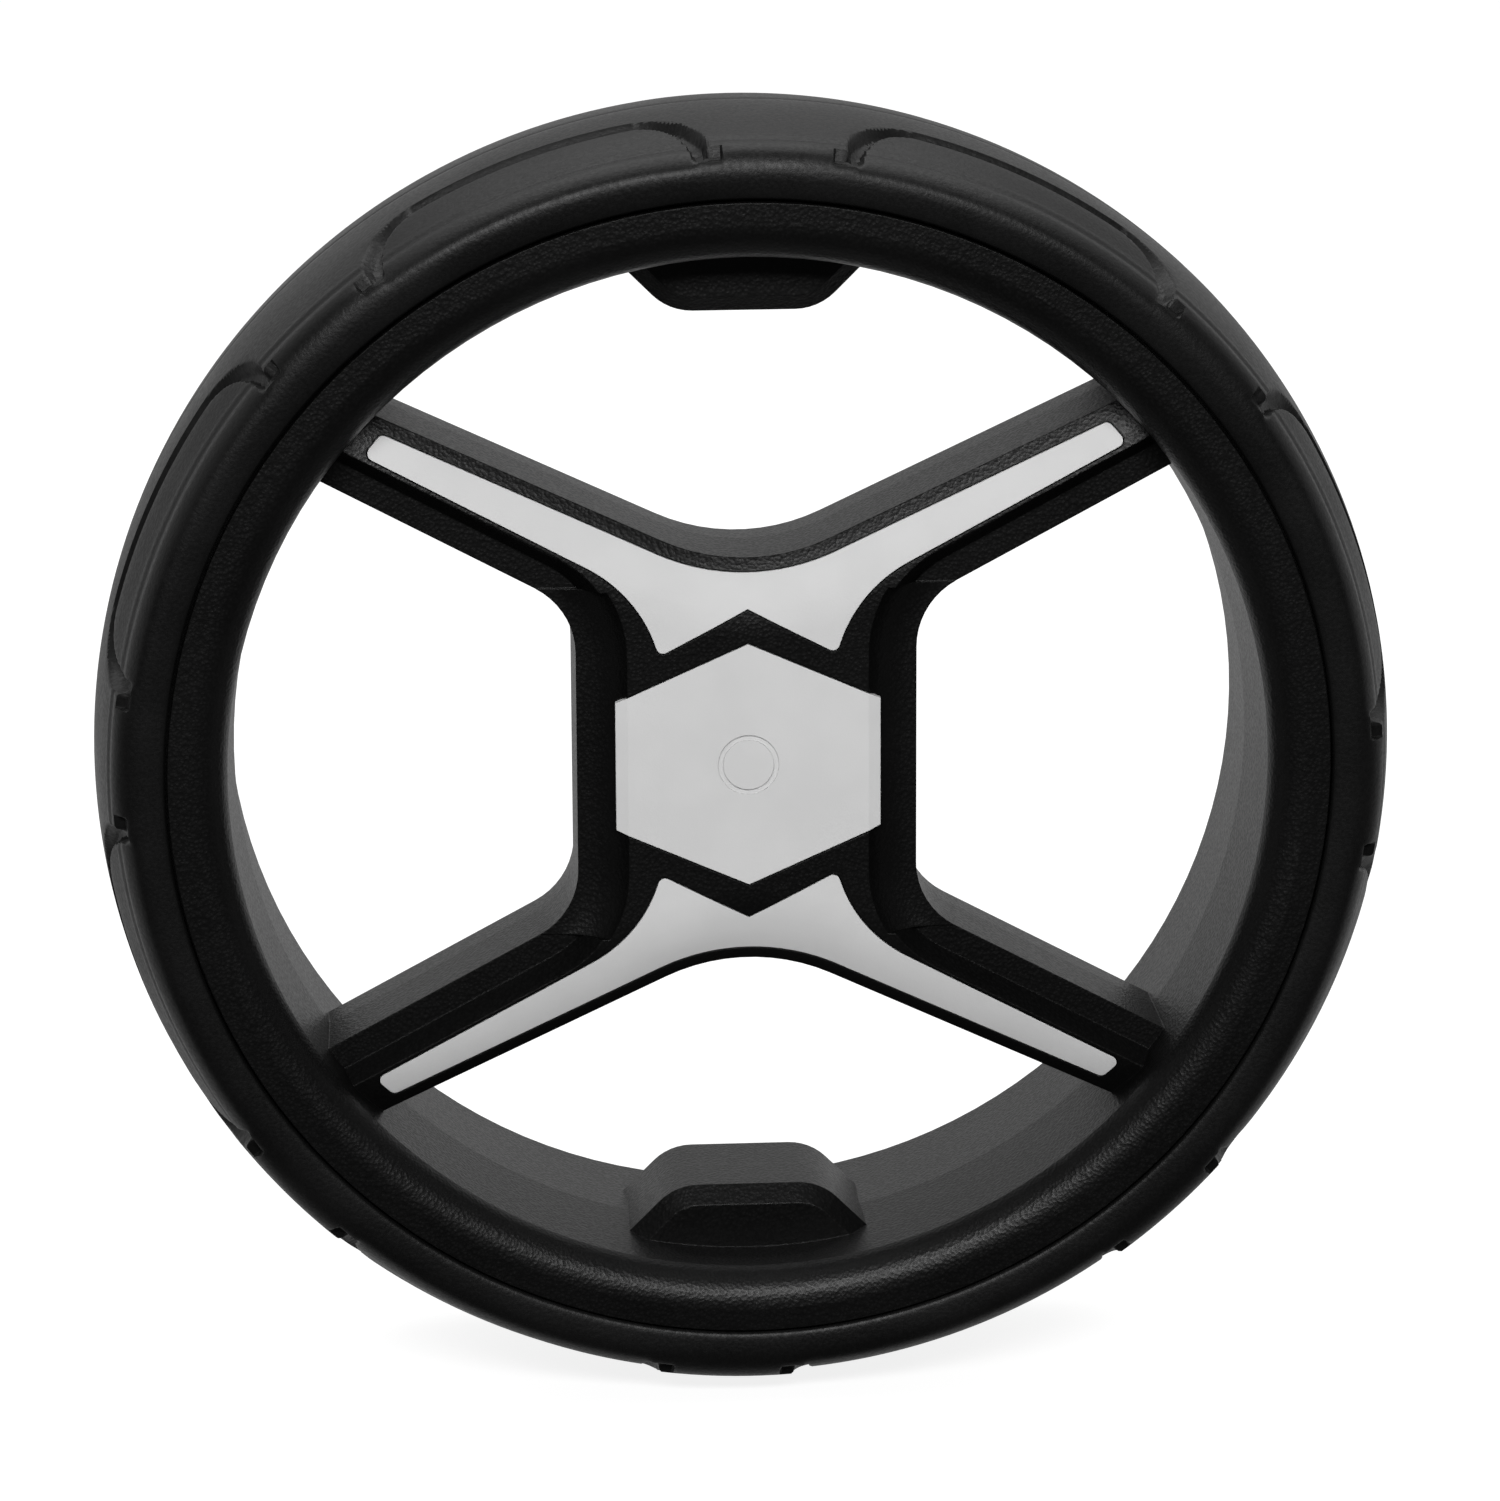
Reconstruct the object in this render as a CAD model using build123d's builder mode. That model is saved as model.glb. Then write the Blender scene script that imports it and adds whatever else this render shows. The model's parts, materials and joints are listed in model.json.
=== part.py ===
"""Airless 300 mm cart wheel: foamed tyre, moulded four-spoke rim with pale inlays,
hexagonal hub cap and two deep-groove ball bearings on a 12 mm stub axle.

Millimetres. Origin at the wheel's centre, axle along Y, outboard face towards -Y,
+Z up. The stub axle, its nut and the inner races stand still; the rest spins.
"""

import os
from math import atan2, cos, degrees, radians, sin, sqrt, tan

from build123d import *

OVERCUT = 1.0                    # how far a cut runs past the face it opens

# ---------------------------------------------------------------- tyre
TYRE_RADIUS = 150.0
SHOULDER_RADIUS = 146.0
SHOULDER_HALF = 30.0
CREASE_RADIUS = 143.6
CREASE_HALF = 35.3
SIDE_BULGE = (138.5, 37.9)
BEAD_RADIUS = 132.9
BEAD_HALF = 37.0

GROOVE_COUNT = 8
GROOVE_WIDTH = 3.0
GROOVE_DEPTH = 2.2
GROOVE_LEG_ANGLE = 15.5
GROOVE_INNER_HALF = 15.5
GROOVE_CORNER = 11.0
GROOVE_REACH = 34.0              # half length of each groove's loop across the shoulder
GROOVE_MARGIN = 8.0              # how far the groove cutters reach past the rubber
GROOVE_FIRST_ANGLE = 25.1
NOTCH_FLOOR_RADIUS = 141.8

# ---------------------------------------------------------------- rim barrel
FLANGE_RADIUS = 132.3
RIM_FRONT = -37.5
RIM_REAR_FLANGE = 37.5
LIP_RADIUS = 127.3
BARREL_FRONT_RADIUS = 118.9
BARREL_FRONT = -30.2
BARREL_WAIST_RADIUS = 117.8
BARREL_REAR_RADIUS = 119.6
BARREL_REAR = 38.0
BARREL_REAR_CHAMFER = 1.5
PARTING_STEP = 0.3               # mismatch of the mould's rear half, seen as a line at y = 0
REAR_FACE = 41.0
CHANNEL_RADIUS = 123.0
CHANNEL_HALF = 29.0
FLANGE_INNER_HALF = 33.5

# ---------------------------------------------------------------- spider
REACH = 140.0                    # distance from the axle that clears every window
FACE = 24.3                      # outboard distance of the hub face
SPOKE_EDGE = 18.4                # outboard distance of the spokes' outer edges
SPIDER_REAR = 11.5
SPIDER_SINK = 1.0                # how far the spokes run into the barrel's wall
DRAFT = 1.5
OUTER_ANGLE = radians(25.1)
OUTER_SLOPE = tan(OUTER_ANGLE)
OUTER_VERTEX = 43.3              # where the two sloping edges would meet
OUTER_BEND = 44.6
BEVEL_WIDTH = 18.0               # run of the rounded bevel from the outer edge to the flat face
INNER_ANGLE = radians(28.15)
INNER_SLOPE = tan(INNER_ANGLE)
INNER_START = 14.7
HUB_HALF_WIDTH = 39.6
WINDOW_CORNER = 17.0
LEDGE_WIDTH = 6.5
LEDGE_HEIGHT = 18.2              # outboard distance of the step beside the side windows
FLANK_WIDTH = 4.0                # run of the steep side between the step and the crest
HUB_SLOPE_WIDTH = 12.0           # run of the slope between the side windows and the hub face
HUB_SLOPE_MIDDLE = (19.7, 7.0)   # outboard distance and run of a point on that hollow slope
HUB_SLOPE_REACH = 41.0           # height where that slope ends and the step begins
SLOPE_MARGIN = 6.0               # how far the slope cutters reach past the material
POCKET_WALL = 4.0
POCKET_FLOOR = -8.0
POCKET_INNER_X = 44.0
POCKET_OUTER_X = 82.0
POCKET_CORNER = 3.0

# ---------------------------------------------------------------- lugs
LUG_FRONT = 18.5
LUG_REAR = 16.5
LUG_BASE_HALF = 28.5
LUG_TOP_HALF = 17.0
LUG_BASE = 115.5
LUG_ROOT = 119.3                 # inside the barrel's wall
LUG_TOP = 104.0
LUG_CORNER = 13.0
LUG_CHAMFER = 3.8

# ---------------------------------------------------------------- trim
TRIM_THICKNESS = 2.5
TRIM_GAP = 0.25
TRIM_PRISM = 12.0                # depth of the block a trim piece is cut from
INLAY_EDGE = 0.5                 # black edge left between an inlay and the crest
INLAY_SHOULDER_X = 36.5          # where the inner edge leaves its straight run
INLAY_TIP = (20.4, 25.9)
INLAY_TIP_ROUND = 1.6
INLAY_NOTCH = 36.5
INLAY_BORDER = 3.6
INLAY_END_RADIUS = 113.6
INLAY_END_ROUND = 1.6
INLAY_SPAN = 95.0                # half width of the blank the inlays are trimmed from
HEX_HALF_WIDTH = 30.4
HEX_CREASE = 27.6
HEX_PEAK = 28.4
HEX_SIDE = 15.0
CAP_BEVEL = 1.2
CAP_SKIRT_RADIUS = 16.8
CAP_SKIRT_WALL = 1.6
CAP_SKIRT_LENGTH = 7.0
CAP_SKIRT_SLOT = 3.0
CAP_MARK_RADIUS = 7.0
CAP_MARK_WIDTH = 1.2
CAP_MARK_DEPTH = 0.5

# ---------------------------------------------------------------- hub and bearings
BOSS_RADIUS = 24.0
BOSS_REAR = 24.0
NUT_WELL_RADIUS = 17.0
FRONT_BEARING = -6.0             # outboard face of the outboard bearing
REAR_BEARING = 12.0              # outboard face of the inboard bearing
BEARING_WIDTH = 8.0
BEARING_OUTER = 14.0
BEARING_BORE = 6.0
HUB_BORE = 12.6
INNER_SHOULDER = 8.3
OUTER_SHOULDER = 11.7
PITCH_RADIUS = 10.0
BALL_RADIUS = 2.38
BALL_CLEARANCE = 0.04
BALL_COUNT = 8
CAGE_THICKNESS = 1.2
CAGE_WIDTH = 5.6
CAGE_CUT = 4.8                   # length of the radial cut for each ball's pocket
SHIELD_THICKNESS = 0.6
SHIELD_RECESS = 0.2
SHIELD_LIP = 8.6
CIRCLIP_WIDTH = 1.2
CIRCLIP_OUTER = 14.8
CIRCLIP_INNER = 12.4
CIRCLIP_PLAY = 0.1
CIRCLIP_GAP = (5.0, 6.0)         # width and height of the opening between its ends
WELL_STEP = 1.0                  # bearing bore kept ahead of the circlip groove

# ---------------------------------------------------------------- axle
AXLE_RADIUS = 6.0
AXLE_CHAMFER = 0.8
COLLAR_RADIUS = 9.0
COLLAR_WIDTH = 6.0
AXLE_FLANGE = 26.0               # shoulder the collar is clamped against
AXLE_FLANGE_WIDTH = 3.0
AXLE_END = 66.0
LATCH_AT = 56.0
LATCH_WIDTH = 3.0
LATCH_RADIUS = 4.8
THREAD_END = -17.0
WASHER_THICKNESS = 1.5
WASHER_RADIUS = 9.5
NUT_HEIGHT = 8.0
NUT_FLATS = 18.0
SPACER_RADIUS = 8.0
SEAL_OUTER = 16.0
SEAL_WIDTH = 3.0
SEAL_LIP_CLEARANCE = 0.06

SIDES = (1, -1)


def turned(points, label):
    """Solid of revolution about the axle from (radius, y) points."""
    with BuildPart() as piece:
        with BuildSketch(Plane.XY):
            with BuildLine():
                Polyline(*points, close=True)
            make_face()
        revolve(axis=Axis.Y)
    piece.part.label = label
    return piece.part


def ring(inner, outer, start, end, label):
    """Plain ring about the axle between two radii and two y values."""
    return turned([(inner, start), (outer, start), (outer, end), (inner, end)], label)


# ================================================================ tyre
with BuildPart() as groove_band:
    with BuildSketch(Plane.XY):
        with BuildLine():
            crown = ThreePointArc(
                (SHOULDER_RADIUS - GROOVE_DEPTH, -SHOULDER_HALF),
                (TYRE_RADIUS - GROOVE_DEPTH, 0),
                (SHOULDER_RADIUS - GROOVE_DEPTH, SHOULDER_HALF),
            )
            Polyline(
                crown @ 1,
                (NOTCH_FLOOR_RADIUS, CREASE_HALF + OVERCUT),
                (NOTCH_FLOOR_RADIUS, CREASE_HALF + GROOVE_MARGIN),
                (TYRE_RADIUS + GROOVE_MARGIN, CREASE_HALF + GROOVE_MARGIN),
                (TYRE_RADIUS + GROOVE_MARGIN, -CREASE_HALF - GROOVE_MARGIN),
                (NOTCH_FLOOR_RADIUS, -CREASE_HALF - GROOVE_MARGIN),
                (NOTCH_FLOOR_RADIUS, -CREASE_HALF - OVERCUT),
                crown @ 0,
            )
        make_face()
    revolve(axis=Axis.Y)

leg_offset = TYRE_RADIUS * sin(radians(GROOVE_LEG_ANGLE))
with BuildPart() as groove_loop:
    with BuildSketch(Plane.XY.offset(TYRE_RADIUS - 2 * GROOVE_MARGIN)):
        with Locations(
            (0, -GROOVE_INNER_HALF - GROOVE_WIDTH / 2 - GROOVE_REACH),
            (0, GROOVE_INNER_HALF + GROOVE_WIDTH / 2 + GROOVE_REACH),
        ):
            RectangleRounded(
                2 * leg_offset + GROOVE_WIDTH,
                2 * GROOVE_REACH + GROOVE_WIDTH,
                GROOVE_CORNER + GROOVE_WIDTH / 2,
            )
            RectangleRounded(
                2 * leg_offset - GROOVE_WIDTH,
                2 * GROOVE_REACH - GROOVE_WIDTH,
                GROOVE_CORNER - GROOVE_WIDTH / 2,
                mode=Mode.SUBTRACT,
            )
    extrude(amount=4 * GROOVE_MARGIN)

groove_pair = groove_loop.part & groove_band.part
grooves = [
    groove_pair.rotate(Axis.Y, GROOVE_FIRST_ANGLE + index * 360 / GROOVE_COUNT)
    for index in range(GROOVE_COUNT)
]

with BuildPart() as tyre:
    with BuildSketch(Plane.XY):
        with BuildLine():
            ThreePointArc(
                (SHOULDER_RADIUS, -SHOULDER_HALF),
                (TYRE_RADIUS, 0),
                (SHOULDER_RADIUS, SHOULDER_HALF),
            )
            for side in SIDES:
                Spline(
                    (SHOULDER_RADIUS, side * SHOULDER_HALF),
                    (CREASE_RADIUS, side * CREASE_HALF),
                    (SIDE_BULGE[0], side * SIDE_BULGE[1]),
                    (BEAD_RADIUS, side * BEAD_HALF),
                )
                Polyline(
                    (BEAD_RADIUS, side * BEAD_HALF),
                    (BEAD_RADIUS, side * FLANGE_INNER_HALF),
                    (FLANGE_RADIUS, side * FLANGE_INNER_HALF),
                    (CHANNEL_RADIUS, side * CHANNEL_HALF),
                )
            Line((CHANNEL_RADIUS, -CHANNEL_HALF), (CHANNEL_RADIUS, CHANNEL_HALF))
        make_face()
    revolve(axis=Axis.Y)
    add(grooves, mode=Mode.SUBTRACT)
tyre.part.label = "tyre"


# ================================================================ shared shapes of the spider
def outer_edge_height(x):
    """Height of the edge beside the top and bottom windows, before its bend."""
    return OUTER_VERTEX + OUTER_SLOPE * abs(x)


def inner_edge_height(x):
    """Height of the edge beside the left and right windows."""
    return INNER_START + INNER_SLOPE * abs(x)


with BuildPart() as bevel_cutter:
    with BuildLine(Plane.XZ) as bevel_path:
        FilletPolyline(
            (-REACH, outer_edge_height(REACH)),
            (0, OUTER_VERTEX),
            (REACH, outer_edge_height(REACH)),
            radius=OUTER_BEND,
        )
    bevel_start = bevel_path.line @ 0
    bevel_heading = bevel_path.line % 0
    with BuildSketch(Plane(origin=bevel_start, x_dir=(0, -1, 0), z_dir=bevel_heading)):
        with BuildLine():
            slope = TangentArc((FACE, BEVEL_WIDTH), (SPOKE_EDGE, 0), tangent=(0, -1))
            Polyline(
                slope @ 1,
                (SPOKE_EDGE, -SLOPE_MARGIN),
                (FACE + SLOPE_MARGIN, -SLOPE_MARGIN),
                (FACE + SLOPE_MARGIN, BEVEL_WIDTH),
                slope @ 0,
            )
        make_face()
    sweep(path=bevel_path.line)

bevels = [bevel_cutter.part, bevel_cutter.part.mirror(Plane.XY)]


with BuildSketch(Plane.XZ) as upper_window:
    with BuildLine():
        Polyline(
            (-REACH, outer_edge_height(REACH)),
            (0, OUTER_VERTEX),
            (REACH, outer_edge_height(REACH)),
            (REACH, 2 * REACH),
            (-REACH, 2 * REACH),
            close=True,
        )
    make_face()
    fillet(upper_window.vertices().sort_by(Axis.Y)[0], radius=OUTER_BEND)

with BuildSketch(Plane.XZ) as right_window:
    with BuildLine():
        Polyline(
            (HUB_HALF_WIDTH, -inner_edge_height(HUB_HALF_WIDTH)),
            (REACH, -inner_edge_height(REACH)),
            (REACH, inner_edge_height(REACH)),
            (HUB_HALF_WIDTH, inner_edge_height(HUB_HALF_WIDTH)),
            close=True,
        )
    make_face()
    fillet(right_window.vertices().sort_by(Axis.X)[:2], radius=WINDOW_CORNER)

with BuildSketch(Plane.XZ) as spider_outline:
    Circle(BARREL_REAR_RADIUS + SPIDER_SINK)
    for window in (upper_window, right_window):
        add(window.sketch, mode=Mode.SUBTRACT)
        across = Plane.XY if window is upper_window else Plane.YZ
        add(window.sketch.mirror(across), mode=Mode.SUBTRACT)

with BuildSketch(Plane.XZ) as rear_spider_outline:
    add(spider_outline.sketch)
    offset(amount=-PARTING_STEP)

# Beside the left and right windows a steep flank drops from the crest to a flat step along
# each spoke. At the hub the step gives way to a slope that runs from the window to the face.
with BuildPart() as right_step:
    with BuildSketch(Plane.XZ.offset(LEDGE_HEIGHT)):
        add(right_window.sketch)
        offset(amount=LEDGE_WIDTH)
    extrude(
        amount=FACE + OVERCUT - LEDGE_HEIGHT,
        taper=-degrees(atan2(FLANK_WIDTH, FACE - LEDGE_HEIGHT)),
    )
    Box(4 * REACH, 4 * REACH, 2 * HUB_SLOPE_REACH, mode=Mode.SUBTRACT)

with BuildPart() as right_slope:
    with BuildLine(Plane.XZ) as slope_path:
        FilletPolyline(
            (REACH, inner_edge_height(REACH)),
            (HUB_HALF_WIDTH, inner_edge_height(HUB_HALF_WIDTH)),
            (HUB_HALF_WIDTH, -inner_edge_height(HUB_HALF_WIDTH)),
            (REACH, -inner_edge_height(REACH)),
            radius=WINDOW_CORNER,
        )
    path_start = slope_path.line @ 0
    path_heading = slope_path.line % 0
    with BuildSketch(Plane(origin=path_start, x_dir=(0, -1, 0), z_dir=path_heading)):
        with BuildLine():
            hollow = ThreePointArc((SPOKE_EDGE, 0), HUB_SLOPE_MIDDLE, (FACE, HUB_SLOPE_WIDTH))
            Polyline(
                hollow @ 1,
                (FACE + SLOPE_MARGIN, HUB_SLOPE_WIDTH),
                (FACE + SLOPE_MARGIN, -SLOPE_MARGIN),
                (SPOKE_EDGE, -SLOPE_MARGIN),
                hollow @ 0,
            )
        make_face()
    sweep(path=slope_path.line)
    Box(4 * REACH, 4 * REACH, 2 * HUB_SLOPE_REACH, mode=Mode.INTERSECT)

ledges = []
for cutter in (right_step.part, right_slope.part):
    ledges += [cutter, cutter.mirror(Plane.YZ)]


def corner_at(sketch, x, height):
    """The sketch's corner nearest to a point in its own plane."""
    return sketch.vertices().sort_by_distance((x, height))[0]


inlay_vertex = OUTER_VERTEX - INLAY_BORDER / cos(OUTER_ANGLE)
inlay_inner_start = INNER_START + (LEDGE_WIDTH + FLANK_WIDTH + INLAY_EDGE) / cos(INNER_ANGLE)
inlay_shoulder_height = inlay_inner_start + INNER_SLOPE * INLAY_SHOULDER_X


def straight_run(angle, start):
    """Length of a sloping line from (0, start) to the circle where the inlays end."""
    return sqrt(INLAY_END_RADIUS**2 - (start * cos(angle)) ** 2) - start * sin(angle)


with BuildSketch(Plane.XZ) as inlay_outline:
    with BuildLine():
        for side in SIDES:
            Polyline(
                (0, inlay_vertex),
                (side * INLAY_SPAN, inlay_vertex + OUTER_SLOPE * INLAY_SPAN),
                (side * INLAY_SPAN, inlay_inner_start + INNER_SLOPE * INLAY_SPAN),
                (side * INLAY_SHOULDER_X, inlay_shoulder_height),
            )
            TangentArc(
                (side * INLAY_SHOULDER_X, inlay_shoulder_height),
                (side * INLAY_TIP[0], INLAY_TIP[1]),
                tangent=(-side * cos(INNER_ANGLE), -sin(INNER_ANGLE)),
            )
            Line((side * INLAY_TIP[0], INLAY_TIP[1]), (0, INLAY_NOTCH))
    make_face()
    Circle(INLAY_END_RADIUS, mode=Mode.INTERSECT)
    fillet(corner_at(inlay_outline, 0, inlay_vertex), radius=OUTER_BEND + INLAY_BORDER)
    for side in SIDES:
        fillet(corner_at(inlay_outline, side * INLAY_TIP[0], INLAY_TIP[1]), radius=INLAY_TIP_ROUND)
        for run, start in ((INNER_ANGLE, inlay_inner_start), (OUTER_ANGLE, inlay_vertex)):
            reach = straight_run(run, start)
            corner = corner_at(inlay_outline, side * reach * cos(run), start + reach * sin(run))
            fillet(corner, radius=INLAY_END_ROUND)

with BuildSketch(Plane.XZ) as inlay_recess_outline:
    add(inlay_outline.sketch)
    offset(amount=TRIM_GAP)

with BuildSketch(Plane.XZ) as hex_outline:
    with BuildLine():
        Polyline(
            (0, HEX_PEAK),
            (HEX_HALF_WIDTH, HEX_SIDE),
            (HEX_HALF_WIDTH, -HEX_SIDE),
            (0, -HEX_PEAK),
            (-HEX_HALF_WIDTH, -HEX_SIDE),
            (-HEX_HALF_WIDTH, HEX_SIDE),
            close=True,
        )
    make_face()

with BuildSketch(Plane.XZ) as hex_recess_outline:
    add(hex_outline.sketch)
    offset(amount=TRIM_GAP, kind=Kind.INTERSECTION)


def trim_skin(outline):
    """Layer of trim under the bevelled face: the outline's prism less itself set back."""
    with BuildPart() as prism:
        extrude(outline.sketch.moved(Location((0, TRIM_PRISM - FACE, 0))), amount=TRIM_PRISM)
        add(bevels, mode=Mode.SUBTRACT)
    return prism.part - prism.part.moved(Location((0, TRIM_THICKNESS, 0)))


upper_inlay = trim_skin(inlay_outline)
lower_inlay = upper_inlay.mirror(Plane.XY)
upper_inlay.label = "upper_inlay"
lower_inlay.label = "lower_inlay"
upper_recess = trim_skin(inlay_recess_outline)
hex_recess = extrude(
    hex_recess_outline.sketch.moved(Location((0, TRIM_THICKNESS - FACE, 0))),
    amount=TRIM_THICKNESS + OVERCUT,
)
trim_recesses = [upper_recess, upper_recess.mirror(Plane.XY), hex_recess]


# ================================================================ rim, spokes, hub and lugs
with BuildPart() as spoke_pocket:
    with BuildSketch(Plane.XZ.offset(-SPIDER_REAR)):
        with BuildLine():
            Polyline(
                (POCKET_INNER_X, inner_edge_height(POCKET_INNER_X) + POCKET_WALL),
                (POCKET_OUTER_X, inner_edge_height(POCKET_OUTER_X) + POCKET_WALL),
                (POCKET_OUTER_X, outer_edge_height(POCKET_OUTER_X) - POCKET_WALL),
                (POCKET_INNER_X, outer_edge_height(POCKET_INNER_X) - POCKET_WALL),
                close=True,
            )
        pocket_face = make_face()
        fillet(pocket_face.vertices(), radius=POCKET_CORNER)
    extrude(amount=SPIDER_REAR - POCKET_FLOOR)
upper_pockets = [spoke_pocket.part, spoke_pocket.part.mirror(Plane.YZ)]
pockets = upper_pockets + [pocket.mirror(Plane.XY) for pocket in upper_pockets]

with BuildSketch(Plane.XZ) as lug_outline:
    with BuildLine():
        Polyline(
            (-LUG_BASE_HALF, LUG_BASE),
            (-LUG_BASE_HALF, LUG_ROOT),
            (LUG_BASE_HALF, LUG_ROOT),
            (LUG_BASE_HALF, LUG_BASE),
            (LUG_TOP_HALF, LUG_TOP),
            (-LUG_TOP_HALF, LUG_TOP),
            close=True,
        )
    make_face()
    fillet(lug_outline.vertices().sort_by(Axis.Y)[:2], radius=LUG_CORNER)

with BuildSketch(Plane.XZ) as rear_lug_outline:
    add(lug_outline.sketch)
    offset(amount=-PARTING_STEP)

with BuildPart() as upper_lug:
    extrude(lug_outline.sketch, amount=LUG_FRONT)
    front_rim = upper_lug.faces().sort_by(Axis.Y)[0].edges().filter_by_position(Axis.Z, 0, LUG_BASE)
    chamfer(front_rim, length=LUG_CHAMFER)
    extrude(rear_lug_outline.sketch, amount=-LUG_REAR)

with BuildPart() as rim:
    extrude(spider_outline.sketch, amount=FACE, taper=DRAFT)
    extrude(rear_spider_outline.sketch, amount=-SPIDER_REAR, taper=DRAFT)
    add(bevels, mode=Mode.SUBTRACT)
    add(ledges, mode=Mode.SUBTRACT)
    add(pockets, mode=Mode.SUBTRACT)
    with BuildSketch(Plane.XY):
        with BuildLine():
            Polyline(
                (CHANNEL_RADIUS, CHANNEL_HALF),
                (FLANGE_RADIUS, FLANGE_INNER_HALF),
                (FLANGE_RADIUS, RIM_REAR_FLANGE),
                (LIP_RADIUS, REAR_FACE),
                (BARREL_REAR_RADIUS + BARREL_REAR_CHAMFER, REAR_FACE),
                (BARREL_REAR_RADIUS, BARREL_REAR),
                (BARREL_WAIST_RADIUS + PARTING_STEP, 0),
                (BARREL_WAIST_RADIUS, 0),
                (BARREL_FRONT_RADIUS, BARREL_FRONT),
            )
            TangentArc(
                (LIP_RADIUS, RIM_FRONT),
                (BARREL_FRONT_RADIUS, BARREL_FRONT),
                tangent=(-1, 0),
            )
            Polyline(
                (LIP_RADIUS, RIM_FRONT),
                (FLANGE_RADIUS, RIM_FRONT),
                (FLANGE_RADIUS, -FLANGE_INNER_HALF),
                (CHANNEL_RADIUS, -CHANNEL_HALF),
                (CHANNEL_RADIUS, CHANNEL_HALF),
            )
        make_face()
    revolve(axis=Axis.Y)
    add([upper_lug.part, upper_lug.part.mirror(Plane.XY)])
    with BuildSketch(Plane.XZ.offset(-BOSS_REAR)):
        Circle(BOSS_RADIUS)
    extrude(amount=BOSS_REAR)
    add(trim_recesses, mode=Mode.SUBTRACT)
    for radius, low, high in (
        (NUT_WELL_RADIUS, -FACE - OVERCUT, FRONT_BEARING - CIRCLIP_WIDTH - WELL_STEP),
        (BEARING_OUTER, -FACE, FRONT_BEARING + BEARING_WIDTH),
        (CIRCLIP_OUTER, FRONT_BEARING - CIRCLIP_WIDTH, FRONT_BEARING),
        (HUB_BORE, -FACE, BOSS_REAR),
        (BEARING_OUTER, REAR_BEARING, BOSS_REAR),
        (SEAL_OUTER, BOSS_REAR - SEAL_WIDTH, BOSS_REAR + OVERCUT),
    ):
        with BuildSketch(Plane.XZ.offset(-high)):
            Circle(radius)
        extrude(amount=high - low, mode=Mode.SUBTRACT)
rim.part.label = "rim"


# ================================================================ hub cap
with BuildPart() as hub_cap:
    extrude(hex_outline.sketch.moved(Location((0, TRIM_THICKNESS - FACE, 0))), amount=TRIM_THICKNESS)
    for side in SIDES:
        with BuildSketch(Plane.XY.offset(-HEX_PEAK)):
            with BuildLine():
                Polyline(
                    (side * HEX_CREASE, -FACE),
                    (side * (HEX_HALF_WIDTH + OVERCUT), -FACE),
                    (side * (HEX_HALF_WIDTH + OVERCUT), -FACE + CAP_BEVEL),
                    close=True,
                )
            make_face()
        extrude(amount=2 * HEX_PEAK, mode=Mode.SUBTRACT)
    with BuildSketch(Plane.XZ.offset(FACE - CAP_MARK_DEPTH)):
        Circle(CAP_MARK_RADIUS)
        Circle(CAP_MARK_RADIUS - CAP_MARK_WIDTH, mode=Mode.SUBTRACT)
    extrude(amount=CAP_MARK_DEPTH, mode=Mode.SUBTRACT)
    with BuildSketch(Plane.XZ.offset(FACE - TRIM_THICKNESS - CAP_SKIRT_LENGTH)):
        Circle(CAP_SKIRT_RADIUS)
        Circle(CAP_SKIRT_RADIUS - CAP_SKIRT_WALL, mode=Mode.SUBTRACT)
        Rectangle(2 * CAP_SKIRT_RADIUS, CAP_SKIRT_SLOT, mode=Mode.SUBTRACT)
        Rectangle(CAP_SKIRT_SLOT, 2 * CAP_SKIRT_RADIUS, mode=Mode.SUBTRACT)
    extrude(amount=CAP_SKIRT_LENGTH)
hub_cap.part.label = "hub_cap"


# ================================================================ bearings
groove_radius = BALL_RADIUS + BALL_CLEARANCE
finished = [tyre.part, rim.part, hub_cap.part, upper_inlay, lower_inlay]


def bearing(prefix, outboard_face):
    """Deep-groove ball bearing whose outboard face stands at the given y."""
    middle = outboard_face + BEARING_WIDTH / 2
    inboard_face = outboard_face + BEARING_WIDTH
    with BuildPart() as ball_track:
        with BuildSketch(Plane.XY):
            with Locations((PITCH_RADIUS, middle)):
                Circle(groove_radius)
        revolve(axis=Axis.Y)
    shields = []
    shield_starts = (
        ("outboard", outboard_face + SHIELD_RECESS),
        ("inboard", inboard_face - SHIELD_RECESS - SHIELD_THICKNESS),
    )
    for which, near in shield_starts:
        far = near + SHIELD_THICKNESS
        shields.append(
            ring(SHIELD_LIP, OUTER_SHOULDER, near, far, f"{prefix}_bearing_{which}_shield")
        )
    outer_race = (
        ring(OUTER_SHOULDER, BEARING_OUTER, outboard_face, inboard_face, "") - ball_track.part
    )
    inner_race = (
        ring(BEARING_BORE, INNER_SHOULDER, outboard_face, inboard_face, "") - ball_track.part
    )
    with BuildPart() as balls:
        with Locations(Plane.XZ.offset(-middle)):
            with PolarLocations(PITCH_RADIUS, BALL_COUNT):
                Sphere(BALL_RADIUS)
    with BuildPart() as cage:
        with BuildSketch(Plane.XZ.offset(-middle - CAGE_WIDTH / 2)):
            Circle(PITCH_RADIUS + CAGE_THICKNESS / 2)
            Circle(PITCH_RADIUS - CAGE_THICKNESS / 2, mode=Mode.SUBTRACT)
        extrude(amount=CAGE_WIDTH)
        with Locations(Plane.XZ.offset(-middle)):
            with PolarLocations(PITCH_RADIUS, BALL_COUNT):
                Cylinder(groove_radius, CAGE_CUT, rotation=(0, 90, 0), mode=Mode.SUBTRACT)
    named = (
        (outer_race, "outer_race"),
        (inner_race, "inner_race"),
        (balls.part, "balls"),
        (cage.part, "cage"),
    )
    for piece, name in named:
        piece.label = f"{prefix}_bearing_{name}"
    return [piece for piece, name in named] + shields


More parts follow.
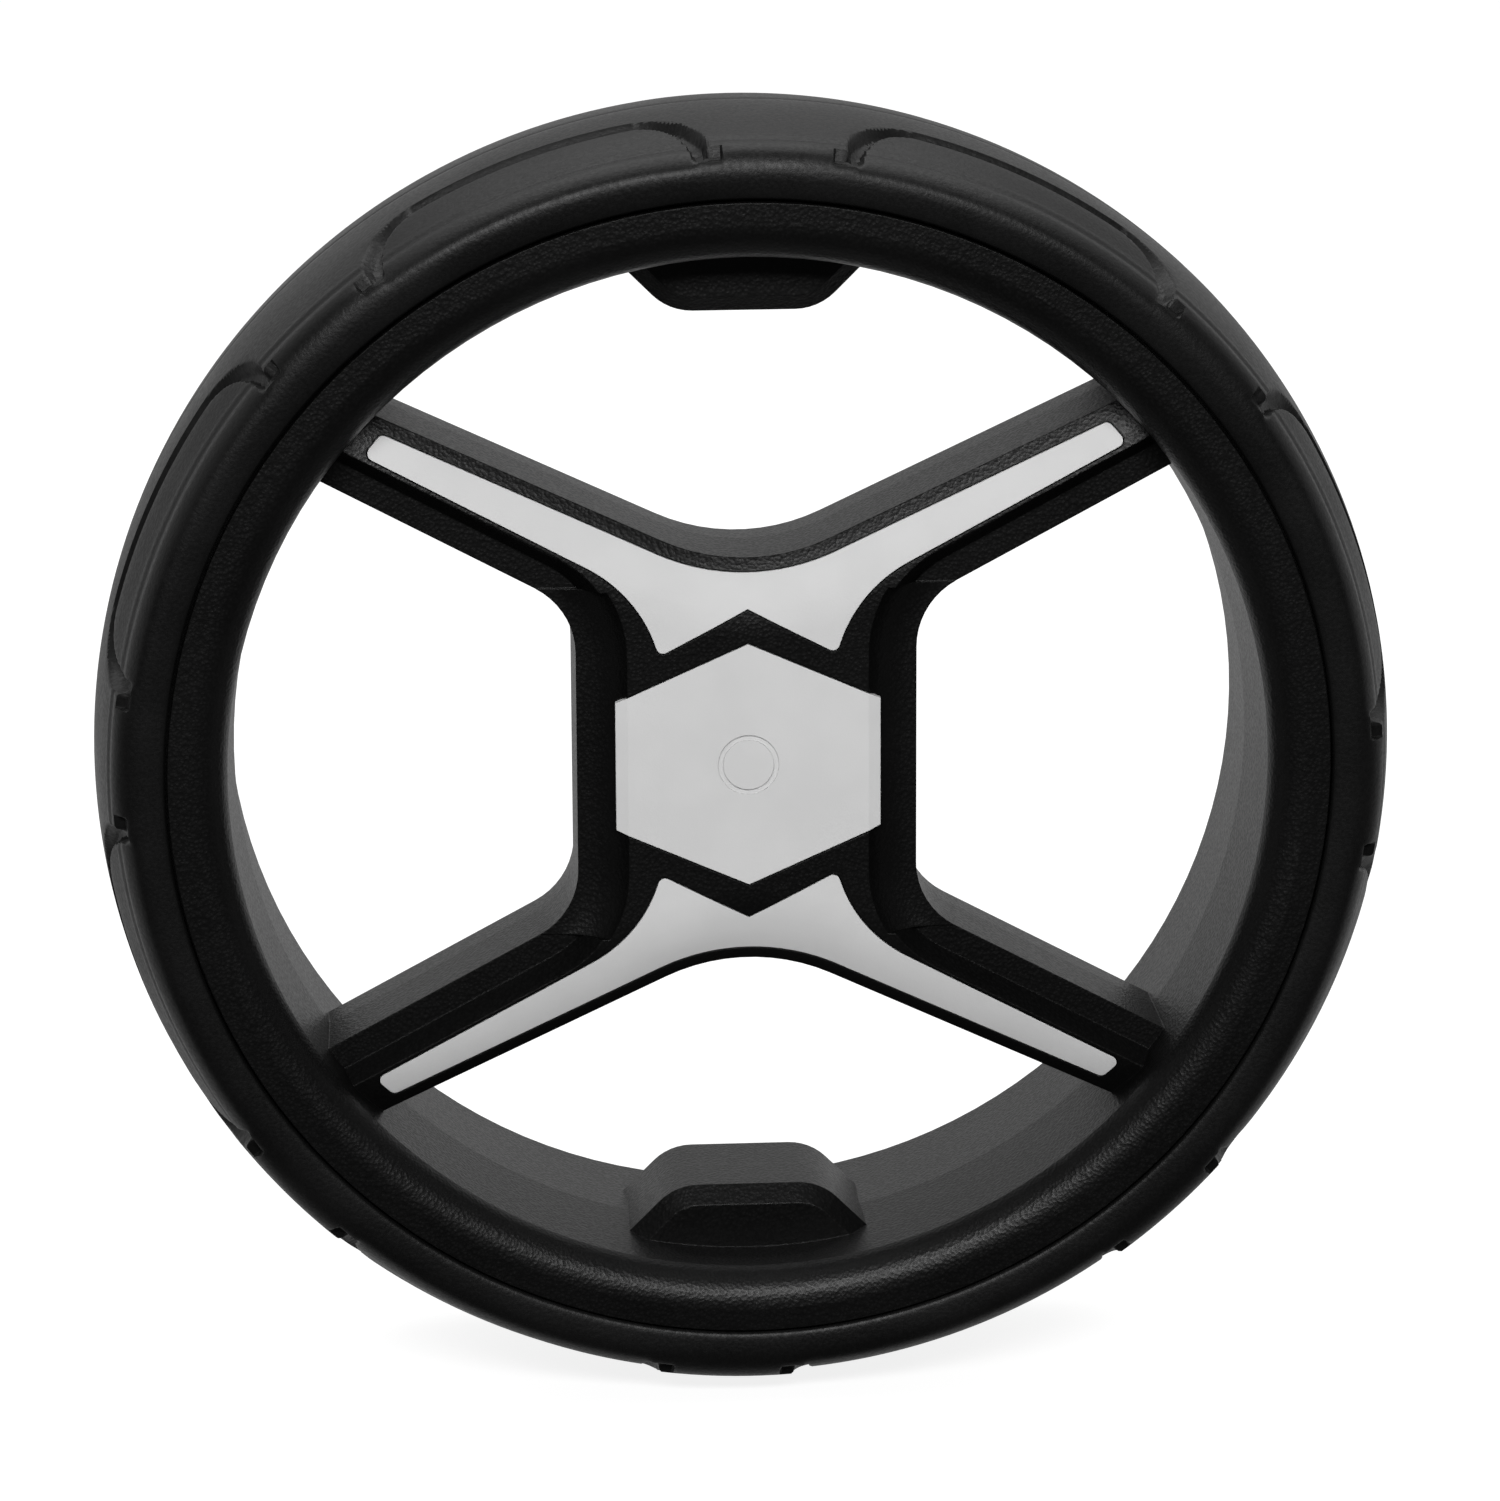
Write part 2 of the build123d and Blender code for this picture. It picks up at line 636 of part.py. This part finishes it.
finished += bearing("front", FRONT_BEARING)
finished += bearing("rear", REAR_BEARING)

# ================================================================ axle and its fittings
with BuildPart() as stub_axle:
    with BuildSketch(Plane.XZ.offset(-AXLE_END)):
        Circle(AXLE_RADIUS)
    extrude(amount=AXLE_END - THREAD_END)
    chamfer(stub_axle.edges().filter_by(GeomType.CIRCLE), length=AXLE_CHAMFER)
    with BuildSketch(Plane.XZ.offset(-AXLE_FLANGE - AXLE_FLANGE_WIDTH)):
        Circle(COLLAR_RADIUS)
    extrude(amount=AXLE_FLANGE_WIDTH)
    with BuildSketch(Plane.XZ.offset(-LATCH_AT - LATCH_WIDTH / 2)):
        Circle(AXLE_RADIUS + OVERCUT)
        Circle(LATCH_RADIUS, mode=Mode.SUBTRACT)
    extrude(amount=LATCH_WIDTH, mode=Mode.SUBTRACT)
stub_axle.part.label = "stub_axle"

washer_start = FRONT_BEARING - WASHER_THICKNESS
with BuildPart() as axle_nut:
    with BuildSketch(Plane.XZ.offset(-washer_start)):
        RegularPolygon(NUT_FLATS / 2, 6, major_radius=False)
        Circle(AXLE_RADIUS, mode=Mode.SUBTRACT)
    extrude(amount=NUT_HEIGHT)
axle_nut.part.label = "axle_nut"

with BuildPart() as circlip:
    with BuildSketch(Plane.XZ.offset(-FRONT_BEARING)):
        Circle(CIRCLIP_OUTER - CIRCLIP_PLAY)
        Circle(CIRCLIP_INNER, mode=Mode.SUBTRACT)
        with Locations((0, -CIRCLIP_OUTER)):
            Rectangle(*CIRCLIP_GAP, mode=Mode.SUBTRACT)
    extrude(amount=CIRCLIP_WIDTH)
circlip.part.label = "bearing_circlip"

finished += [stub_axle.part, axle_nut.part, circlip.part]
finished += [
    ring(AXLE_RADIUS, WASHER_RADIUS, washer_start, FRONT_BEARING, "nut_washer"),
    ring(AXLE_RADIUS, SPACER_RADIUS, FRONT_BEARING + BEARING_WIDTH, REAR_BEARING, "bearing_spacer"),
    ring(
        AXLE_RADIUS,
        COLLAR_RADIUS,
        REAR_BEARING + BEARING_WIDTH,
        REAR_BEARING + BEARING_WIDTH + COLLAR_WIDTH,
        "axle_collar",
    ),
    ring(
        COLLAR_RADIUS + SEAL_LIP_CLEARANCE,
        SEAL_OUTER,
        BOSS_REAR - SEAL_WIDTH,
        BOSS_REAR,
        "dust_seal",
    ),
]

os.makedirs("parts", exist_ok=True)
for piece in finished:
    export_step(piece, f"parts/{piece.label}.step")
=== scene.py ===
"""Looks of the airless cart wheel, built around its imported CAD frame.

Metres, in the CAD's own frame: origin at the wheel's centre, axle along Y, capped face
towards -Y, +Z up. The CAD pieces keep their places; this script gives them their
finishes, builds the tyre's soft surface and sets up the studio.
"""

import json
import math

import bpy
import numpy as np
from mathutils import Matrix, Vector


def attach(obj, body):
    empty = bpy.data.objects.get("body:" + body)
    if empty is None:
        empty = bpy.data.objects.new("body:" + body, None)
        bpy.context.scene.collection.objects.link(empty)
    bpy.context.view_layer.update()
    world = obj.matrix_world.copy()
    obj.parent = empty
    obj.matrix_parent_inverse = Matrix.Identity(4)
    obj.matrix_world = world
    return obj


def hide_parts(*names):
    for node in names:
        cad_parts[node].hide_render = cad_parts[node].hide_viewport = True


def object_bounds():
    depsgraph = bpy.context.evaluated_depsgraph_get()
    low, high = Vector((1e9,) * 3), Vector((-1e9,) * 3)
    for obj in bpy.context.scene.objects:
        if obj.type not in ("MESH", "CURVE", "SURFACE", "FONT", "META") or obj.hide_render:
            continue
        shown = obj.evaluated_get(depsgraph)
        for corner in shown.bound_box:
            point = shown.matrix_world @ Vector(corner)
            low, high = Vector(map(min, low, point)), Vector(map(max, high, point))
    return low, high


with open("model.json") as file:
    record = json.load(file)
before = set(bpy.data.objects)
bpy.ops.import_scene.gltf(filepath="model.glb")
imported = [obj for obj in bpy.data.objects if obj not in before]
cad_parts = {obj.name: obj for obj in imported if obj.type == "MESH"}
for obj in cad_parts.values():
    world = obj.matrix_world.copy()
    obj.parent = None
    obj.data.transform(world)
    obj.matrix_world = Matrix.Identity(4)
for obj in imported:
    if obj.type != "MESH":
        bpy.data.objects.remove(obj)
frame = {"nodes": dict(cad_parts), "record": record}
cad_low, cad_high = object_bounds()

MM = 0.001

# ---------------------------------------------------------------- finishes: shared values
# Noise rarely leaves this range, so finishes are mapped from it.
NOISE_LOW = 0.3
NOISE_HIGH = 0.7
STAIN_LOW = 0.35
STAIN_HIGH = 0.65
NOISE_ROUGHNESS = 0.55

SHARP_ANGLE = math.radians(28)
PLASTIC_EDGE_BREAK = 0.4
TRIM_EDGE_BREAK = 0.25
EDGE_SAMPLES = 4

# Sockets of the Mix node, which has several of each name.
MIX_SHARE = 0
MIX_FIRST_NUMBER = 2
MIX_SECOND_NUMBER = 3
MIX_NUMBER = 0
MIX_FIRST_COLOUR = 6
MIX_SECOND_COLOUR = 7
MIX_COLOUR = 2


# ---------------------------------------------------------------- node helpers
class Shader:
    """A material's node tree with short calls for its nodes and links. Sizes are millimetres."""

    def __init__(self, name):
        self.material = bpy.data.materials.new(name)
        self.material.use_nodes = True
        self.tree = self.material.node_tree
        self.surface = self.tree.nodes["Principled BSDF"]
        self.place = self.add("ShaderNodeTexCoord").outputs["Object"]

    def add(self, kind, inputs=None, **settings):
        """Adds a node; inputs are plain values or other nodes' outputs."""
        node = self.tree.nodes.new(kind)
        for key, value in settings.items():
            setattr(node, key, value)
        for key, value in (inputs or {}).items():
            self.feed(node, key, value)
        return node

    def feed(self, node, key, value):
        """Sets or links one input."""
        if isinstance(value, bpy.types.NodeSocket):
            self.tree.links.new(value, node.inputs[key])
        else:
            node.inputs[key].default_value = value

    def noise(self, size, detail=4.0, distortion=0.0):
        """Noise whose features are about size across."""
        node = self.add(
            "ShaderNodeTexNoise",
            {
                "Vector": self.place,
                "Scale": 1.0 / (size * MM),
                "Detail": detail,
                "Roughness": NOISE_ROUGHNESS,
                "Distortion": distortion,
            },
        )
        return node.outputs["Fac"]

    def pebbles(self, size, smoothness):
        """Soft-edged cells about size across, as the distance from each cell's middle."""
        node = self.add(
            "ShaderNodeTexVoronoi",
            {"Vector": self.place, "Scale": 1.0 / (size * MM), "Smoothness": smoothness},
            feature="SMOOTH_F1",
        )
        return node.outputs["Distance"]

    def span(self, value, low, high, to_low=0.0, to_high=1.0):
        """Maps value smoothly from low..high to to_low..to_high and clamps it."""
        node = self.add(
            "ShaderNodeMapRange",
            {
                "Value": value,
                "From Min": low,
                "From Max": high,
                "To Min": to_low,
                "To Max": to_high,
            },
            interpolation_type="SMOOTHSTEP",
        )
        return node.outputs["Result"]

    def spread(self, noise, to_low=0.0, to_high=1.0):
        """Maps a noise's usual range to to_low..to_high."""
        return self.span(noise, NOISE_LOW, NOISE_HIGH, to_low, to_high)

    def combine(self, operation, first, second):
        """One arithmetic step."""
        return self.add("ShaderNodeMath", {0: first, 1: second}, operation=operation).outputs[0]

    def blend(self, share, first, second):
        """Colour between first and second."""
        node = self.add(
            "ShaderNodeMix",
            {MIX_SHARE: share, MIX_FIRST_COLOUR: first, MIX_SECOND_COLOUR: second},
            data_type="RGBA",
        )
        return node.outputs[MIX_COLOUR]

    def broken_edges(self, radius):
        """Normal that rounds the piece's edges off by radius."""
        node = self.add("ShaderNodeBevel", {"Radius": radius * MM}, samples=EDGE_SAMPLES)
        return node.outputs["Normal"]

    def bump(self, height, depth, base=None):
        """Normal from a height of 0..1 that stands depth high, on top of a base normal."""
        inputs = {"Height": height, "Strength": 1.0, "Distance": depth * MM}
        if base is not None:
            inputs["Normal"] = base
        return self.add("ShaderNodeBump", inputs).outputs["Normal"]

    def finish(self, **values):
        """Feeds the surface's inputs, named with underscores, and returns the material."""
        for key, value in values.items():
            self.feed(self.surface, key.replace("_", " "), value)
        return self.material


def grey(level, warmth=0.0):
    """Linear colour of one level; warmth shifts red up and blue down."""
    return (level * (1 + warmth), level, level * (1 - warmth), 1.0)


# ---------------------------------------------------------------- finishes
def foam_tyre():
    """Moulded polyurethane skin: satin black with a very fine grain and soft mottling."""
    s = Shader("foam_tyre")
    mottle = s.noise(size=26, detail=3)
    grain = s.noise(size=0.9, detail=3)
    return s.finish(
        Base_Color=s.blend(s.spread(mottle), grey(0.003), grey(0.0045)),
        Roughness=s.combine("ADD", s.spread(grain, 0.36, 0.46), s.spread(mottle, 0.0, 0.05)),
        Specular_IOR_Level=0.24,
        Normal=s.bump(grain, depth=0.09),
    )


def black_plastic():
    """Black moulding with a fine leather grain and slightly broken edges."""
    s = Shader("black_plastic")
    pebbles = s.pebbles(size=0.85, smoothness=0.35)
    creases = s.noise(size=0.6, detail=3, distortion=0.6)
    grain = s.combine(
        "ADD", s.combine("MULTIPLY", pebbles, 0.6), s.combine("MULTIPLY", creases, 0.4)
    )
    mottle = s.noise(size=30, detail=2)
    return s.finish(
        Base_Color=s.blend(s.spread(mottle), grey(0.002), grey(0.003)),
        Roughness=s.span(grain, 0.25, 0.65, 0.46, 0.36),
        Specular_IOR_Level=0.27,
        Normal=s.bump(grain, depth=0.13, base=s.broken_edges(PLASTIC_EDGE_BREAK)),
    )


def pale_trim():
    """Light grey satin plastic with a very fine spark-eroded grain."""
    s = Shader("pale_trim")
    grain = s.noise(size=0.45, detail=2)
    mottle = s.noise(size=18, detail=2)
    return s.finish(
        Base_Color=s.blend(s.spread(mottle), grey(0.66), grey(0.69)),
        Roughness=s.spread(grain, 0.52, 0.62),
        Specular_IOR_Level=0.3,
        Normal=s.bump(grain, depth=0.02, base=s.broken_edges(TRIM_EDGE_BREAK)),
    )


def ground_steel():
    """Ground bearing steel with a very fine grain."""
    s = Shader("ground_steel")
    grain = s.noise(size=0.25, detail=2)
    return s.finish(
        Base_Color=grey(0.55, warmth=-0.01),
        Metallic=1.0,
        Roughness=s.spread(grain, 0.22, 0.36),
        Normal=s.bump(grain, depth=0.004),
    )


def polished_steel():
    """Polished balls."""
    s = Shader("polished_steel")
    haze = s.noise(size=1.5)
    return s.finish(
        Base_Color=grey(0.68, warmth=-0.01),
        Metallic=1.0,
        Roughness=s.spread(haze, 0.06, 0.12),
    )


def cage_brass():
    """Pressed brass, slightly dulled."""
    s = Shader("cage_brass")
    stain = s.noise(size=2.0)
    dull = (0.56, 0.40, 0.16, 1)
    bright = (0.66, 0.49, 0.22, 1)
    return s.finish(
        Base_Color=s.blend(s.span(stain, STAIN_LOW, STAIN_HIGH), dull, bright),
        Metallic=1.0,
        Roughness=s.spread(stain, 0.3, 0.42),
    )


def zinc_steel():
    """Zinc-plated steel with a faint spangle and rub marks."""
    s = Shader("zinc_steel")
    spangle = s.noise(size=3.0, detail=5)
    rub = s.noise(size=0.4, detail=2)
    dull = grey(0.46, warmth=-0.02)
    bright = grey(0.56, warmth=-0.01)
    return s.finish(
        Base_Color=s.blend(s.span(spangle, STAIN_LOW, STAIN_HIGH), dull, bright),
        Metallic=1.0,
        Roughness=s.spread(spangle, 0.28, 0.42),
        Normal=s.bump(rub, depth=0.006),
    )


def seal_rubber():
    """Matte nitrile rubber."""
    s = Shader("seal_rubber")
    grain = s.noise(size=0.6)
    return s.finish(
        Base_Color=grey(0.018),
        Roughness=s.spread(grain, 0.6, 0.72),
        Normal=s.bump(grain, depth=0.02),
    )


FINISHES = {
    "foam_tyre": foam_tyre,
    "black_plastic": black_plastic,
    "pale_trim": pale_trim,
    "race_steel": ground_steel,
    "ball_steel": polished_steel,
    "cage_brass": cage_brass,
    "zinc_steel": zinc_steel,
    "seal_rubber": seal_rubber,
}
materials = {slot: make() for slot, make in FINISHES.items()}


def dress(piece, slot):
    """Gives a piece one finish and smooth shading that breaks at real edges."""
    piece.data.materials.clear()
    piece.data.materials.append(materials[slot])
    piece.data.polygons.foreach_set("material_index", [0] * len(piece.data.polygons))
    piece.data.shade_smooth()
    piece.data.set_sharp_from_angle(angle=SHARP_ANGLE)


for part in frame["record"]["subparts"]:
    dress(frame["nodes"][part["node"]], part["material_slot"])


# ---------------------------------------------------------------- tyre
# Tyre sizes are millimetres and tyre angles are degrees. The rows of the tyre's grid run
# round the wheel, one after another from bead to bead; its columns run across the tread.
TYRE_RADIUS = (cad_high.z - cad_low.z) / 2 / MM
CROWN_RADIUS = 113.0
TREAD_HALF = 28.0
# Points of the shoulder and the bead as (radius, y).
SHOULDER = (
    (146.45, 28.0), (146.15, 29.4), (145.55, 30.6), (145.35, 31.4), (145.3, 32.2), (144.9, 33.8),
    (143.6, 35.8), (141.4, 37.3), (138.5, 38.0), (135.2, 37.75), (133.5, 37.3), (132.95, 36.6),
)
BEAD_INSIDE = ((132.95, 33.45), (132.35, 33.45), (123.05, 28.95))
MOULD_LINE_DEPTH = 0.2
MOULD_LINE_HALF = 0.5

# A U-shaped groove lies in each shoulder: a middle along the tread and two legs outwards.
GROOVES = 8
GROOVE_FIRST = 25.1
GROOVE_MIDDLE = 17.0
GROOVE_CORNER = 16.0
GROOVE_FLAT = 0.9
GROOVE_EDGE = 2.4
GROOVE_DEPTH = 2.6
GROOVE_END = 35.2
LEG_ANGLE = 15.5
LEG_OFFSET = TYRE_RADIUS * math.radians(LEG_ANGLE)

# The pad inside a groove rounds off more strongly than the tread beside it.
PAD_START = 18.0
PAD_RUN = 13.0
PAD_DROP = 1.3
PAD_FOOT = 139.0
PAD_FOOT_RUN = 5.5

# Each leg ends in a small notch that reaches from inside the leg to a little past it.
NOTCH_INSIDE = 1.6
NOTCH_PAST = 5.2
NOTCH_START = 34.2
NOTCH_BLUR = 0.9
NOTCH_FLOOR = 141.8

# Stretches of the grid as (start, end, step), finer where the shape turns faster.
HALF_PITCH = 180 / GROOVES
TREAD_ROWS = ((0, 0.6, 0.25), (0.6, 14, 2.2), (14, TREAD_HALF, 0.56))
SHOULDER_STEPS = 3
HALF_PITCH_COLUMNS = (
    (0, 8.5, 1.4),
    (8.5, LEG_ANGLE - 1.0, 0.33),
    (LEG_ANGLE - 1.0, LEG_ANGLE + 2.4, 0.22),
    (LEG_ANGLE + 2.4, HALF_PITCH, 1.3),
)


def catmull(points, steps):
    """Smooth curve through the points, as an array with the given steps per span."""
    p = np.array(points, float)
    p = np.vstack([2 * p[0] - p[1], p, 2 * p[-1] - p[-2]])
    curve = []
    for i in range(1, len(p) - 2):
        a, b, c, d = p[i - 1 : i + 3]
        for t in np.arange(steps) / steps:
            linear = (c - a) * t
            square = (2 * a - 5 * b + 4 * c - d) * t**2
            cubic = (3 * b - a - 3 * c + d) * t**3
            curve.append(0.5 * (2 * b + linear + square + cubic))
    return np.array(curve + [p[-2]])


def graded(stretches):
    """Values through (start, end, step) stretches, each end left to the next stretch."""
    return np.concatenate([np.arange(low, high - step / 2, step) for low, high, step in stretches])


def ease(share):
    """Smooth step from 0 to 1 as share goes from 0 to 1."""
    share = np.clip(share, 0, 1)
    return share * share * (3 - 2 * share)


def ease_over(distance, blur):
    """Smooth step from 0 to 1 over blur, half done where distance is 0."""
    return ease(distance / blur + 0.5)


def half_profile():
    """Outside of the tyre from the middle of the tread to the bead, as (radius, y) rows."""
    across = graded(TREAD_ROWS)
    crown = TYRE_RADIUS - CROWN_RADIUS + np.sqrt(CROWN_RADIUS**2 - across**2)
    crown -= MOULD_LINE_DEPTH * np.clip(1 - across / MOULD_LINE_HALF, 0, 1)
    tread = np.column_stack([crown, across])
    return np.vstack([tread, catmull(SHOULDER, SHOULDER_STEPS), BEAD_INSIDE])


def pad_sink(past_leg, y, radius):
    """How far the pad inside a groove stands below the tread beside it."""
    inside = ease_over(-past_leg, 2 * GROOVE_EDGE)
    outwards = ease((np.abs(y) - PAD_START) / PAD_RUN)
    above_foot = ease((radius - PAD_FOOT) / PAD_FOOT_RUN)
    return PAD_DROP * inside * outwards * above_foot


def groove_share(past_leg, y):
    """1 in the floor of a groove or a notch, 0 outside them."""
    along = past_leg + GROOVE_CORNER
    across = (GROOVE_MIDDLE + GROOVE_CORNER) - np.abs(y)
    inside = np.minimum(np.maximum(along, across), 0)
    outside = np.hypot(np.maximum(along, 0), np.maximum(across, 0))
    distance = np.abs(inside + outside - GROOVE_CORNER)
    groove = ease((GROOVE_EDGE - distance) / (GROOVE_EDGE - GROOVE_FLAT))
    groove = groove * ease_over(GROOVE_END - np.abs(y), NOTCH_BLUR)
    notch = ease_over(past_leg + NOTCH_INSIDE, NOTCH_BLUR)
    notch = notch * ease_over(NOTCH_PAST - past_leg, NOTCH_BLUR)
    notch = notch * ease_over(np.abs(y) - NOTCH_START, NOTCH_BLUR)
    return np.maximum(groove, notch)


def tyre_points():
    """Points of the tyre's grid by row and column, with its grooves pressed in."""
    half = half_profile()
    rows = np.vstack([half[::-1] * (1, -1), half[1:]])
    side = graded(HALF_PITCH_COLUMNS)
    pitch = np.radians(np.concatenate([-side[:0:-1], side]))
    centres = np.radians(GROOVE_FIRST + np.arange(GROOVES) * 360 / GROOVES)
    from_centre = np.tile(pitch, GROOVES)
    angle = np.repeat(centres, len(pitch)) + from_centre
    past_leg = np.abs(from_centre) * TYRE_RADIUS - LEG_OFFSET
    radius = np.repeat(rows[:, :1], len(angle), axis=1)
    y = np.repeat(rows[:, 1:], len(angle), axis=1)
    radius = radius - pad_sink(past_leg, y, radius)
    floor = np.maximum(radius - GROOVE_DEPTH, NOTCH_FLOOR)
    radius = radius - groove_share(past_leg, y) * np.clip(radius - floor, 0, None)
    return np.stack([radius * np.sin(angle), y, radius * np.cos(angle)], axis=-1)


def make_tyre():
    """Tyre as one closed grid turned about the axle, in place of the CAD tyre."""
    points = tyre_points()
    row_count, column_count = points.shape[:2]
    index = np.arange(row_count * column_count).reshape(row_count, column_count)
    next_row = np.roll(index, -1, axis=0)
    corners = [index, np.roll(index, -1, axis=1), np.roll(next_row, -1, axis=1), next_row]
    faces = np.stack(corners, axis=-1).reshape(-1, 4)
    mesh = bpy.data.meshes.new("tyre_surface")
    mesh.from_pydata((points * MM).reshape(-1, 3).tolist(), [], faces.tolist())
    tyre = bpy.data.objects.new("tyre_surface", mesh)
    bpy.context.scene.collection.objects.link(tyre)
    dress(tyre, "foam_tyre")
    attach(tyre, "wheel")
    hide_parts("tyre")


make_tyre()


# ---------------------------------------------------------------- studio
FLOOR_SIZE = 16.0
FLOOR_HEIGHT = cad_low.z
PAPER_GREY = 0.3
PAPER_GLOW = 0.85
PAPER_MOTTLE = 40

# Strength of the room's light, by the Y of the direction it comes from.
SEEN_LEVEL = 1.0
FRONT_LEVEL = 0.04
BACK_LEVEL = 0.6
FALL_START = -0.5
FALL_END = 0.35

SOFTBOXES = (
    # name, place, aim, width and height, watts
    ("key_softbox", (-0.1, -1.5, 0.95), (0, 0, 0), (1.3, 0.35), 26),
    ("top_softbox", (0.0, 0.5, 1.7), (0, 0.2, 0), (2.0, 1.4), 19),
)

CAMERA_AZIMUTH = math.radians(-3.77)
CAMERA_ELEVATION = math.radians(14.58)
CAMERA_ROLL = math.radians(-0.28)
CAMERA_DISTANCE = 1.463
CAMERA_AIM = Vector((1.9, -0.4, -2.8)) * MM
SENSOR = 36.0
LENS = 150.7


def make_floor():
    """Plain pale paper, wide enough to fill the view, that glows for the camera only."""
    reach = FLOOR_SIZE / 2
    corners = [(-reach, -reach), (reach, -reach), (reach, reach), (-reach, reach)]
    mesh = bpy.data.meshes.new("studio_floor")
    mesh.from_pydata([(x, y, FLOOR_HEIGHT) for x, y in corners], [], [(0, 1, 2, 3)])
    floor = bpy.data.objects.new("studio_floor", mesh)
    bpy.context.scene.collection.objects.link(floor)
    s = Shader("studio_paper")
    mottle = s.noise(size=PAPER_MOTTLE, detail=2)
    seen = s.add("ShaderNodeLightPath").outputs["Is Camera Ray"]
    floor.data.materials.append(
        s.finish(
            Base_Color=grey(PAPER_GREY),
            Roughness=s.spread(mottle, 0.75, 0.85),
            Emission_Color=grey(1.0),
            Emission_Strength=s.combine("MULTIPLY", seen, PAPER_GLOW),
        )
    )
    floor.visible_glossy = False


def make_softbox(name, place, aim, size, watts):
    """Rectangular area light at place, facing aim."""
    light = bpy.data.lights.new(name, "AREA")
    light.shape = "RECTANGLE"
    light.size, light.size_y = size
    light.energy = watts
    lamp = bpy.data.objects.new(name, light)
    bpy.context.scene.collection.objects.link(lamp)
    lamp.location = place
    lamp.rotation_mode = "QUATERNION"
    lamp.rotation_quaternion = (Vector(aim) - Vector(place)).to_track_quat("-Z", "Y")


def light_room():
    """White room for the camera; its light is bright behind the wheel and dim in front."""
    world = bpy.data.worlds.new("studio_world")
    bpy.context.scene.world = world
    world.use_nodes = True
    tree = world.node_tree
    background = tree.nodes["Background"]
    background.inputs["Color"].default_value = grey(1.0)
    direction = tree.nodes.new("ShaderNodeTexCoord")
    split = tree.nodes.new("ShaderNodeSeparateXYZ")
    tree.links.new(direction.outputs["Generated"], split.inputs[0])
    fall = tree.nodes.new("ShaderNodeMapRange")
    fall.interpolation_type = "SMOOTHSTEP"
    tree.links.new(split.outputs["Y"], fall.inputs["Value"])
    fall.inputs["From Min"].default_value = FALL_START
    fall.inputs["From Max"].default_value = FALL_END
    fall.inputs["To Min"].default_value = FRONT_LEVEL
    fall.inputs["To Max"].default_value = BACK_LEVEL
    path = tree.nodes.new("ShaderNodeLightPath")
    pick = tree.nodes.new("ShaderNodeMix")
    pick.data_type = "FLOAT"
    tree.links.new(path.outputs["Is Camera Ray"], pick.inputs[MIX_SHARE])
    tree.links.new(fall.outputs["Result"], pick.inputs[MIX_FIRST_NUMBER])
    pick.inputs[MIX_SECOND_NUMBER].default_value = SEEN_LEVEL
    tree.links.new(pick.outputs[MIX_NUMBER], background.inputs["Strength"])


def make_camera():
    """Camera with the photo's viewpoint, which was solved from the wheel's circles."""
    data = bpy.data.cameras.new("camera")
    data.sensor_width = SENSOR
    data.lens = LENS
    camera = bpy.data.objects.new("camera", data)
    bpy.context.scene.collection.objects.link(camera)
    bpy.context.scene.camera = camera
    toward = Vector(
        (
            math.sin(CAMERA_AZIMUTH) * math.cos(CAMERA_ELEVATION),
            -math.cos(CAMERA_AZIMUTH) * math.cos(CAMERA_ELEVATION),
            math.sin(CAMERA_ELEVATION),
        )
    )
    place = Matrix.Translation(CAMERA_AIM + toward * CAMERA_DISTANCE)
    level = (-toward).to_track_quat("-Z", "Y").to_matrix().to_4x4()
    roll = Matrix.Rotation(CAMERA_ROLL, 4, "Z")
    camera.matrix_world = place @ level @ roll


make_floor()
for softbox in SOFTBOXES:
    make_softbox(*softbox)
light_room()
bpy.context.scene.view_settings.view_transform = "Standard"
make_camera()
